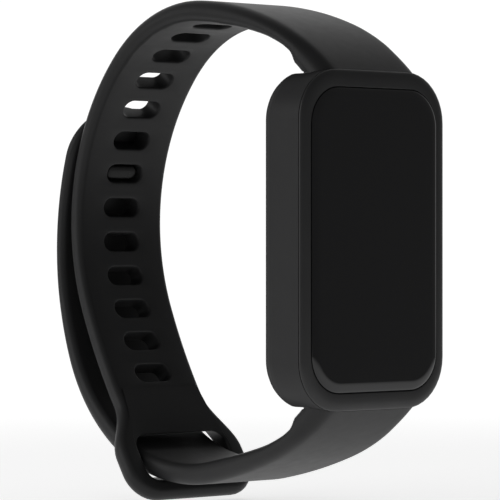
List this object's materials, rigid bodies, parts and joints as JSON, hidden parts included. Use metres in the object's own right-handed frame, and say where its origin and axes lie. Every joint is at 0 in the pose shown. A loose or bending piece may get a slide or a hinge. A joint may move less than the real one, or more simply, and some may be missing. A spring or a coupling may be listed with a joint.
{
  "type": "fitness tracker band",
  "caption": "Slim rounded screen module clipped into a closed two-piece soft wrist strap, with slots, a loop at one strap's end and a stud on the other's tail.",
  "frame": {"origin": "middle of the wrist opening, level with the middle of the case", "axes": "+X along the wrist's axis, -Y out of the screen, +Z along the screen towards the upper, slotted strap"},
  "size_m": [0.0252, 0.0552, 0.0661],
  "materials": {
    "case_plastic": "fine satin texture",
    "bezel_plastic": "fine satin texture",
    "cover_glass": "polished, black behind",
    "adhesive": "matt",
    "display": "dark, switched off",
    "light_guide": "white film",
    "flex_foil": "amber polyimide",
    "chassis_plastic": "moulded",
    "circuit_board": "green solder mask",
    "chip": "moulded resin",
    "steel": "plain",
    "black_plastic": "matt",
    "battery_foil": "laminate pouch",
    "foam": "double-sided foam tape",
    "lead": "insulation",
    "tungsten": "sintered weight",
    "sensor_board": "blue solder mask",
    "led": "clear resin",
    "sensor_window": "dark tinted",
    "back_plastic": "satin",
    "seal": "matt",
    "contact_metal": "gold plated",
    "magnet": "nickel plated",
    "clip_plastic": "fine matt",
    "strap_rubber": "soft-touch matt",
    "stud_plastic": "polished"
  },
  "bodies": {
    "strap": {"upper_connector": "clip_plastic", "lower_connector": "clip_plastic", "upper_strap": "strap_rubber", "lower_strap": "strap_rubber"},
    "tracker": {"case_frame": "case_plastic", "front_bezel": "bezel_plastic", "cover_glass": "cover_glass", "glass_adhesive": "adhesive", "display_panel": "display", "display_backlight": "light_guide", "display_flex": "flex_foil", "inner_chassis": "chassis_plastic", "main_board": "circuit_board", "board_chips": "chip", "shield_can": "steel", "board_connector": "black_plastic", "board_screws": "steel", "battery": "battery_foil", "battery_board": "circuit_board", "battery_tape": "foam", "battery_lead": "lead", "antenna_flex": "flex_foil", "motor_housing": "steel", "motor_cap": "steel", "motor_shaft": "steel", "sensor_board": "sensor_board", "sensor_flex": "flex_foil", "sensor_leds": "led", "photodiode": "chip", "light_barrier": "black_plastic", "sensor_window": "sensor_window", "rear_cover": "back_plastic", "rear_seal": "seal", "charging_contacts": "contact_metal", "contact_seals": "seal", "charging_magnets": "magnet", "upper_lug_bar": "steel", "lower_lug_bar": "steel"},
    "rotor": {"motor_rotor": "tungsten"},
    "tail": {"strap_tail": "strap_rubber", "closing_stud": "stud_plastic"}
  },
  "joints": [
    {"name": "tracker_release", "type": "slide", "parent": "strap", "child": "tracker", "axis": [0, -1, 0], "range_m": [0, 0.012]},
    {"name": "motor_spin", "type": "hinge", "parent": "tracker", "child": "rotor", "pos_m": [-0.0054, -0.0246, 0.0094], "axis": [0, 1, 0], "continuous": true},
    {"name": "tail_lift", "type": "hinge", "parent": "strap", "child": "tail", "pos_m": [0, 0.02529, -0.00152], "axis": [-1, 0, 0], "range_deg": [0, 60], "stiffness_Nm_per_rad": 0.01}
  ]
}
